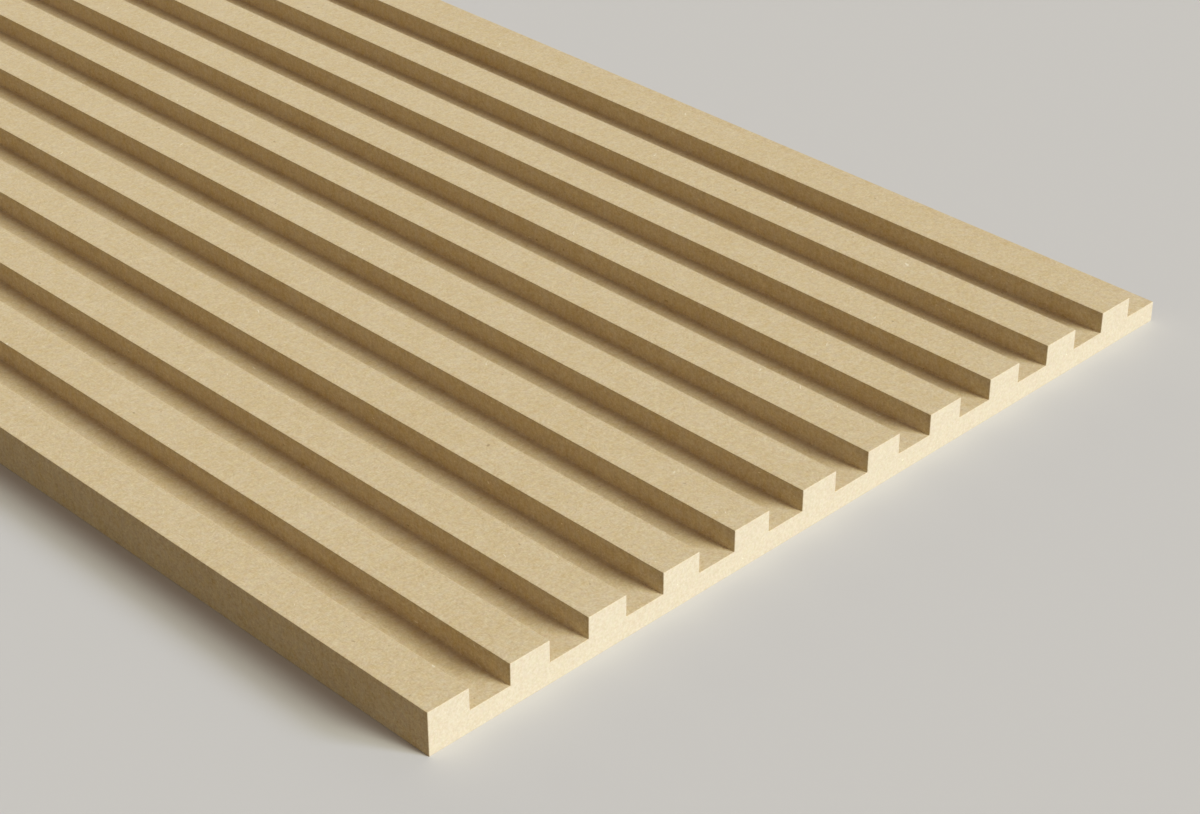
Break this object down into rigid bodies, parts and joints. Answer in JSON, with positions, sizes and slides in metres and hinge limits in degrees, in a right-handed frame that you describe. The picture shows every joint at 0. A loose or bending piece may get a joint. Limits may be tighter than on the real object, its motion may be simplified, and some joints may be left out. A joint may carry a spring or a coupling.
{
  "type": "grooved wall panel",
  "caption": "Flat fibreboard wall panel machined with even square ribs and grooves along its length, to be glued or screwed to a wall by its flat back.",
  "frame": {"origin": "centre of the flat back face, which is the face that goes against the wall", "axes": "+X across the ribs, from the edge with a full rib to the edge with the open rebate; +Y along the ribs; +Z out of the back face towards the room"},
  "size_m": [0.396, 2.44, 0.018],
  "materials": {
    "raw_fibreboard": "matte"
  },
  "bodies": {
    "root": {"grooved_panel": "raw_fibreboard"}
  },
  "joints": []
}
